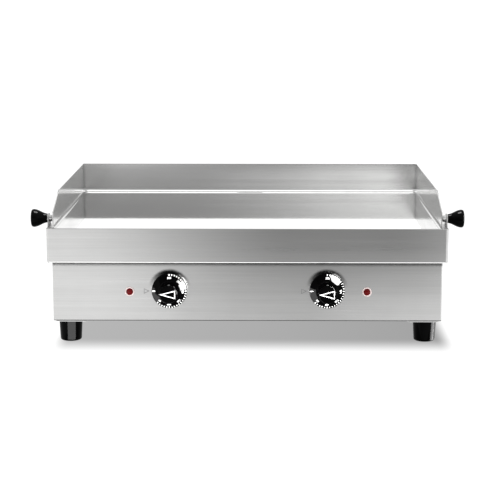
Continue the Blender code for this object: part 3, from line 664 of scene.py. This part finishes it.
def add_number(shape, centre, angle, text, radius, size):
    """One number, standing radially on the sloping face."""
    words = bpy.data.curves.new("number", "FONT")
    words.body = text
    words.size = size
    words.align_x = "CENTER"
    words.align_y = "CENTER"
    words.extrude = 0.0001
    words.offset = size * 0.030
    helper = bpy.data.objects.new("number", words)
    bpy.context.scene.collection.objects.link(helper)
    bpy.context.view_layer.update()
    mesh = bpy.data.meshes.new_from_object(helper.evaluated_get(bpy.context.evaluated_depsgraph_get()))
    bpy.data.objects.remove(helper)
    a = math.radians(180 + angle)
    slope = math.atan2(FACE_END[1] - FACE_START[1], FACE_START[0] - FACE_END[0])
    out = Vector((math.cos(a) * math.cos(slope), math.sin(slope), math.sin(a) * math.cos(slope)))
    along = Vector((math.sin(a), 0, -math.cos(a)))
    normal = along.cross(out)
    turn = Matrix((along, out, normal)).transposed().to_4x4()
    place = Matrix.Translation(Vector(polar(centre, angle, radius, 0, 0.0001)))
    mesh.transform(place @ turn)
    shape.from_mesh(mesh)
    bpy.data.meshes.remove(mesh)


def add_pointer(shape, centre, front):
    """The outlined triangle on the hub's end, its tip towards 9 o'clock."""
    tip, back, half, line = -0.0155, 0.0120, 0.0074, 0.0015
    outer = [(tip, 0), (back, -half), (back, half)]
    slim = line * math.hypot(back - tip, half) / half
    inner_back = back - line
    inner_tip = tip + slim
    inner_half = half * (inner_back - inner_tip) / (back - tip)
    inner = [(inner_tip, 0), (inner_back, -inner_half), (inner_back, inner_half)]
    y = front + 0.0009
    for i in range(3):
        j = (i + 1) % 3
        corners = (outer[i], outer[j], inner[j], inner[i])
        raised(shape, [(centre.x + u, y, centre.z + v) for u, v in corners], 0.0009)


def make_dial(name, look):
    node = f"dial_knob_{name}"
    low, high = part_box(node)
    centre = Vector(((low.x + high.x) / 2, PANEL_Y, (low.z + high.z) / 2))
    reach = PANEL_Y - low.y
    radius = (high.x - low.x) / 2
    profile = dial_profile(reach, radius, 0.016)
    dial = as_object(f"{node}_finished", spin(profile, centre, (0, -1, 0), 128), look["gloss"], 50)
    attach(dial, f"{name}_dial")
    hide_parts(node)
    marks = bmesh.new()
    for count in range(26):
        major = count % 5 == 0
        start, width = (0.0272, 0.0017) if major else (0.0276, 0.0014)
        add_tick(marks, centre, TICK_START - TICK_STEP * count, start, 0.0303, width)
    add_tick(marks, centre, 0, 0.0245, 0.0303, 0.0017)
    for angle, text in DIAL_LABELS:
        add_number(marks, centre, angle, text, 0.0235, 0.0047)
    add_pointer(marks, centre, low.y)
    scale = as_object(f"dial_scale_{name}", marks, look["print"], 30)
    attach(scale, f"{name}_dial")


def make_index_mark(name, look):
    """The small outlined triangle printed left of each dial, pointing at it."""
    low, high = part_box(f"dial_knob_{name}")
    centre_x = (low.x + high.x) / 2
    z = (low.z + high.z) / 2 - 0.002
    back, tip, half, line = centre_x - 0.0450, centre_x - 0.0355, 0.0047, 0.0008
    outer = [(tip, 0), (back, half), (back, -half)]
    slim = line * math.hypot(tip - back, half) / half
    inner_half = half * (tip - back - line - slim) / (tip - back)
    inner = [(tip - slim, 0), (back + line, inner_half), (back + line, -inner_half)]
    shape = bmesh.new()
    for i in range(3):
        j = (i + 1) % 3
        corners = (outer[i], outer[j], inner[j], inner[i])
        raised(shape, [(x, PANEL_Y + 0.00005, z + up) for x, up in corners], 0.00015)
    mark = as_object(f"index_mark_{name}", shape, look["grey_print"], 30)
    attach(mark, "casing")


def make_lamp(name, look):
    node = f"pilot_lamp_{name}"
    low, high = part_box(node)
    radius = (high.x - low.x) / 2
    centre = ((low.x + high.x) / 2, PANEL_Y, (low.z + high.z) / 2)
    back = PANEL_Y - high.y
    front = PANEL_Y - low.y
    profile = [(0, back), (0.0045, back), (0.0045, GAP), (radius, GAP), (radius, 0.0016)]
    profile += bezier((radius, 0.0016), (radius, 0.0036), (radius * 0.6, front), (0, front), 14)
    lens = as_object(f"{node}_finished", spin(profile, centre, (0, -1, 0), 64), look["lens"])
    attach(lens, "casing")
    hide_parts(node)
    ring_low, ring_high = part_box(f"lamp_bezel_{name}")
    outer = (ring_high.x - ring_low.x) / 2
    top = PANEL_Y - ring_low.y
    ring = [(outer, GAP), (outer, top * 0.5)] + arc(outer - 0.0006, top - 0.0006, 0.0006, 0, 90, 4)
    ring += [(radius + GAP, top), (radius + GAP, GAP)]
    bezel = as_object(
        f"lamp_bezel_{name}_finished", spin(ring, centre, (0, -1, 0), 64, ring=True), look["bezel"]
    )
    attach(bezel, "casing")
    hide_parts(f"lamp_bezel_{name}")


def dress_the_rest(look):
    dress("terminal_block", look["ceramic"])
    dress("insulation_pad", look["fibre"])
    smoothed("cable_gland", look["nylon"], 30)
    smoothed("gland_nut", look["nylon"], 30)
    for name, _ in SIDES:
        smoothed(f"thermostat_body_{name}", look["case"])
        smoothed(f"thermostat_shaft_{name}", look["satin"])
        smoothed(f"hinge_pin_{name}", look["chrome"])
        smoothed(f"heating_element_{name}", look["sheath"])
        smoothed(f"thermostat_bulb_{name}", look["copper"])


# Studio


def stage_material(name, nodes_in):
    made = bpy.data.materials.new(name)
    made.use_nodes = True
    tree = made.node_tree
    tree.nodes.clear()
    out = tree.nodes.new("ShaderNodeOutputMaterial")
    tree.links.new(nodes_in(tree), out.inputs["Surface"])
    return made


def floor_shader(tree):
    """White, with a soft grey shade under the casing that is darker on the right. Clear from below."""

    def combined(operation, first, second=0.0):
        made = tree.nodes.new("ShaderNodeMath")
        made.operation = operation
        for socket, value in zip(made.inputs, (first, second)):
            if isinstance(value, float):
                socket.default_value = value
            else:
                tree.links.new(value, socket)
        return made.outputs[0]

    split = tree.nodes.new("ShaderNodeSeparateXYZ")
    tree.links.new(tree.nodes.new("ShaderNodeTexCoord").outputs["Object"], split.inputs[0])
    x, y = split.outputs["X"], split.outputs["Y"]
    # Painted shadow: a soft grey patch over the casing's footprint, darker towards the right.
    middle, half = (BODY_LOW.y + BODY_HIGH.y) / 2, (BODY_HIGH.y - BODY_LOW.y) / 2
    aside = combined("ABSOLUTE", combined("SUBTRACT", x, 0.010))
    beside = ranged(tree, aside, BODY_HIGH.x - 0.016, BODY_HIGH.x + 0.022, 1.0, 0.0, smooth=True)
    away = combined("ABSOLUTE", combined("SUBTRACT", y, middle))
    before = ranged(tree, away, half - 0.046, half + 0.088, 1.0, 0.0, smooth=True)
    level = tree.nodes.new("ShaderNodeMix")
    level.inputs["A"].default_value = 1.15
    tree.links.new(combined("MULTIPLY", beside, before), level.inputs["Factor"])
    tree.links.new(ranged(tree, x, BODY_LOW.x, BODY_HIGH.x, 0.48, 0.37), level.inputs["B"])
    rays = tree.nodes.new("ShaderNodeLightPath")
    to_camera = ranged(tree, rays.outputs["Is Camera Ray"], 0.0, 1.0, 0.74, 1.0)
    level = combined("MULTIPLY", level.outputs["Result"], to_camera)
    glow = tree.nodes.new("ShaderNodeEmission")
    tree.links.new(level, glow.inputs["Strength"])
    clear = tree.nodes.new("ShaderNodeBsdfTransparent")
    facing = tree.nodes.new("ShaderNodeMixShader")
    tree.links.new(tree.nodes.new("ShaderNodeNewGeometry").outputs["Backfacing"], facing.inputs[0])
    tree.links.new(glow.outputs[0], facing.inputs[1])
    tree.links.new(clear.outputs[0], facing.inputs[2])
    return facing.outputs[0]


def card_shader(lower, upper, blend, direct):
    """A glowing card. Its level changes along its width by two rows of (place, level) stops.

    The blend is the pair of heights from the card's middle where the lower row ends and the upper
    starts. Direct is the share of the level that a single reflection shows.
    """
    first, last, strongest = lower[0][0], lower[-1][0], 2.0

    def row(tree, place, stops):
        ramp = tree.nodes.new("ShaderNodeValToRGB")
        elements = ramp.color_ramp.elements
        for spot, _ in stops[1:-1]:
            elements.new((spot - first) / (last - first))
        for element, (_, level) in zip(elements, stops):
            element.color = (*[level / strongest] * 3, 1)
        tree.links.new(place, ramp.inputs["Fac"])
        return ramp.outputs["Color"]

    def nodes_in(tree):
        split = tree.nodes.new("ShaderNodeSeparateXYZ")
        tree.links.new(tree.nodes.new("ShaderNodeTexCoord").outputs["Object"], split.inputs[0])
        across = ranged(tree, split.outputs["X"], (first - last) / 2, (last - first) / 2, 0.0, 1.0)
        both = tree.nodes.new("ShaderNodeMix")
        both.data_type = "RGBA"
        tree.links.new(ranged(tree, split.outputs["Y"], *blend, 0.0, 1.0), both.inputs[0])
        tree.links.new(row(tree, across, lower), both.inputs[6])
        tree.links.new(row(tree, across, upper), both.inputs[7])
        bounces = tree.nodes.new("ShaderNodeLightPath").outputs["Ray Depth"]
        glow = tree.nodes.new("ShaderNodeEmission")
        strength = ranged(tree, bounces, 1, 2, direct * strongest, strongest)
        tree.links.new(strength, glow.inputs["Strength"])
        tree.links.new(both.outputs[2], glow.inputs["Color"])
        return glow.outputs[0]

    return nodes_in


def flat_stage(name, width, height, place, rotation, material):
    shape = bmesh.new()
    corners = ((-1, -1), (1, -1), (1, 1), (-1, 1))
    shape.faces.new([shape.verts.new((x * width / 2, y * height / 2, 0)) for x, y in corners])
    mesh = bpy.data.meshes.new(name)
    shape.to_mesh(mesh)
    shape.free()
    mesh.materials.append(material)
    item = bpy.data.objects.new(name, mesh)
    item.location = place
    item.rotation_euler = rotation
    bpy.context.scene.collection.objects.link(item)
    return item


def area_light(name, place, target, width, height, power, pieces):
    """A rectangular light that reaches only the given pieces, past whatever stands between."""
    light = bpy.data.lights.new(name, "AREA")
    light.shape = "RECTANGLE"
    light.size = width
    light.size_y = height
    light.energy = power
    item = bpy.data.objects.new(name, light)
    item.location = place
    item.rotation_euler = (Vector(target) - Vector(place)).to_track_quat("-Z", "Y").to_euler()
    item.visible_camera = False
    bpy.context.scene.collection.objects.link(item)
    lit = bpy.data.collections.new(f"{name}_pieces")
    for piece in pieces:
        lit.objects.link(bpy.data.objects[piece])
    item.light_linking.receiver_collection = lit
    item.light_linking.blocker_collection = lit
    return item


def glint(name, piece, direction, distance, width, height, power):
    """A light that makes one highlight on one black piece, from a direction as its middle sees it."""
    item = bpy.data.objects[piece]
    corners = [item.matrix_world @ Vector(corner) for corner in item.bound_box]
    middle = sum(corners, Vector()) / 8
    place = middle + distance * Vector(direction).normalized()
    area_light(name, place, middle, width, height, power, [piece]).visible_diffuse = False


def make_world():
    """White to the camera, and dim to matt surfaces. To reflections, brightest behind the object."""
    world = bpy.data.worlds.new("studio")
    bpy.context.scene.world = world
    world.use_nodes = True
    nodes, links = world.node_tree.nodes, world.node_tree.links
    background = nodes["Background"]
    direction = nodes.new("ShaderNodeTexCoord").outputs["Generated"]

    def level_towards(axis, start, end, low, high):
        """A level that rises from low to high as the direction turns to the axis."""
        lean = nodes.new("ShaderNodeVectorMath")
        lean.operation = "DOT_PRODUCT"
        lean.inputs[1].default_value = axis
        links.new(direction, lean.inputs[0])
        return ranged(world.node_tree, lean.outputs["Value"], start, end, low, high, smooth=True)

    sky = nodes.new("ShaderNodeMix")
    sky.inputs["B"].default_value = 1.30
    links.new(level_towards((0.0, 0.8, 0.6), -0.55, 0.45, 0.42, 0.85), sky.inputs["A"])
    links.new(level_towards((0.0, 0.98, 0.2), 0.80, 0.95, 0.0, 1.0), sky.inputs["Factor"])
    ray = nodes.new("ShaderNodeLightPath")
    strength = sky.outputs["Result"]
    for kind, fixed in (("Is Diffuse Ray", 0.35), ("Is Camera Ray", 1.2)):
        chosen = nodes.new("ShaderNodeMix")
        chosen.inputs["B"].default_value = fixed
        links.new(ray.outputs[kind], chosen.inputs["Factor"])
        links.new(strength, chosen.inputs["A"])
        strength = chosen.outputs["Result"]
    links.new(strength, background.inputs["Strength"])
    background.inputs["Color"].default_value = (1, 1, 1, 1)


# Rows of (place across the object, level). The first two are for the low card, from the casing up to
# the skirt. The next four are for the far cards, by what the walls and their mirror images show.
CASING_LEVELS = (
    (-0.60, 1.25), (-0.38, 1.16), (-0.29, 1.20), (-0.15, 1.00), (0.00, 0.78), (0.06, 0.72),
    (0.12, 0.74), (0.26, 0.90), (0.36, 1.02), (0.45, 1.10), (0.60, 1.20),
)
SKIRT_LEVELS = (
    (-0.60, 1.20), (-0.38, 1.14), (-0.29, 0.98), (-0.21, 0.76), (-0.13, 0.58), (-0.05, 0.38),
    (0.03, 0.24), (0.10, 0.19), (0.18, 0.20), (0.30, 0.16), (0.36, 0.18), (0.45, 0.60), (0.60, 1.10),
)
WALL_LEVELS = (
    (-1.2, 0.54), (-0.45, 0.51), (-0.15, 0.53), (0.10, 0.88), (0.30, 1.50), (0.50, 1.80), (1.2, 1.70),
)
WALL_FOOT_LEVELS = (
    (-1.2, 0.38), (-0.45, 0.36), (-0.15, 0.37), (0.10, 0.56), (0.30, 0.92), (0.50, 1.00), (1.2, 0.95),
)
MIRRORED_FOOT_LEVELS = (
    (-1.2, 0.08), (-0.45, 0.07), (-0.15, 0.10), (0.10, 0.28), (0.30, 0.55), (0.50, 0.60), (1.2, 0.55),
)
MIRRORED_TOP_LEVELS = (
    (-1.2, 0.60), (-0.45, 0.60), (-0.15, 0.60), (0.10, 0.86), (0.30, 1.22), (0.50, 1.32), (1.2, 1.25),
)
SIDE_LEVELS = ((-0.7, 1.2), (0.7, 1.2))
ONE_ROW = (-1.0, 1.0)  # the blend of a card whose two rows are the same

# Name, distance in front of the skirt, level of its middle, height, lower row, upper row, blend, direct
CARDS = (
    ("low_card", 0.33, 0.040, 0.400, CASING_LEVELS, SKIRT_LEVELS, (-0.024, 0.046), 1.0),
    ("high_card", 1.00, 0.410, 0.220, WALL_LEVELS, WALL_FOOT_LEVELS, (0.020, 0.050), 0.65),
    ("top_card", 1.00, 0.735, 0.430, MIRRORED_TOP_LEVELS, MIRRORED_TOP_LEVELS, ONE_ROW, 0.65),
    ("shade_card", 0.99, 0.490, 0.036, MIRRORED_FOOT_LEVELS, MIRRORED_FOOT_LEVELS, ONE_ROW, 1.2),
)

# Name, piece, direction, distance, width, height, power
GLINTS = (
    ("dial_glint_left", "dial_knob_left", (0.60, -0.80, 0.07), 0.34, 0.19, 0.14, 30),
    ("dial_glint_right", "dial_knob_right", (0.46, -0.79, 0.40), 0.34, 0.19, 0.14, 30),
    ("dial_sheen_left", "dial_knob_left", (-0.35, -0.85, -0.40), 0.34, 0.36, 0.24, 5.5),
    ("dial_sheen_right", "dial_knob_right", (-0.35, -0.85, -0.40), 0.34, 0.36, 0.24, 5.5),
    ("knob_end_right", "handle_knob_right", (0.90, -0.35, 0.10), 0.30, 0.12, 0.30, 4),
    ("foot_glint_left", "foot_front_left", (0.20, -0.98, -0.28), 0.28, 0.44, 0.25, 9),
    ("foot_glint_right", "foot_front_right", (0.997, -0.08, -0.28), 0.32, 0.22, 0.3, 8),
    ("foot_sheen_right", "foot_front_right", (0.91, 0.42, -0.28), 0.32, 0.17, 0.3, 1),
)


def make_card(name, place, turn, height, lower, upper, blend=ONE_ROW, direct=1.0):
    """A card that only the object's reflections show."""
    material = stage_material(name, card_shader(lower, upper, blend, direct))
    width = lower[-1][0] - lower[0][0]
    card = flat_stage(name, width, height, place, (math.radians(90), 0, math.radians(turn)), material)
    card.visible_camera = False
    card.visible_diffuse = False
    card.visible_shadow = False


def make_studio():
    pale = stage_material("pale_floor", floor_shader)
    floor = flat_stage("floor", 24, 24, (0, 0, -0.0002), (0, 0, 0), pale)
    floor.visible_glossy = False
    floor.visible_shadow = False
    front = SKIRT_LOW.y
    for name, distance, level, height, *glow in CARDS:
        make_card(name, (0, front - distance, level), 0, height, *glow)
    for name, side in SIDES:
        side_place = (side * 0.75, front - 0.20, 0.060)
        make_card(f"side_card_{name}", side_place, 90, 0.440, SIDE_LEVELS, SIDE_LEVELS)
    make_world()
    knobs = [f"handle_knob_{name}_finished" for name, _ in SIDES]
    area_light("overhead", (0, front + 0.16, 2.0), (0, front + 0.16, 0), 0.8, 0.6, 80, knobs)
    scales = [f"dial_scale_{name}" for name, _ in SIDES]
    bezels = [f"lamp_bezel_{name}_finished" for name, _ in SIDES]
    for name, pieces, power in (("scale_fill", scales, 50), ("bezel_fill", bezels, 18)):
        fill = area_light(name, (0, front - 1.2, 0.35), (0, front, 0.1), 1.0, 0.6, power, pieces)
        fill.visible_glossy = False
    cove_place, cove = (0, WALL_LOW.y - 0.2, 1.2), (0, WALL_LOW.y, 0.21)
    area_light("cove_streak", cove_place, cove, 1.8, 1.4, 7.5, ["wall_foot_cove"])
    strip_place, edge = (0, front - 0.10, SKIRT_LOW.z - 0.127), (0, front - 0.05, SKIRT_LOW.z)
    area_light("skirt_edge", strip_place, edge, 0.80, 0.10, 0.5, ["plate_skirt_finished"])
    for name, node, *numbers in GLINTS:
        glint(name, f"{node}_finished", *numbers)
    bpy.context.scene.view_settings.view_transform = "Standard"


def make_camera():
    """The photograph's view: from 2.6 m in front, a little to the right, 10 degrees down."""
    camera = bpy.data.cameras.new("camera")
    camera.sensor_width = 36
    camera.lens = 110.3
    item = bpy.data.objects.new("camera", camera)
    item.location = (0.0304, SKIRT_LOW.y - 2.6215, 0.6462)
    item.rotation_euler = (math.radians(90 - 10.285), 0, math.radians(0.556))
    bpy.context.scene.collection.objects.link(item)
    bpy.context.scene.camera = item


make_camera()
look = make_materials()
make_sheets(look)
make_coves(look)
make_feet(look)
make_handles(look)
for side_name, _ in SIDES:
    make_dial(side_name, look)
    make_index_mark(side_name, look)
    make_lamp(side_name, look)
dress_the_rest(look)
make_studio()
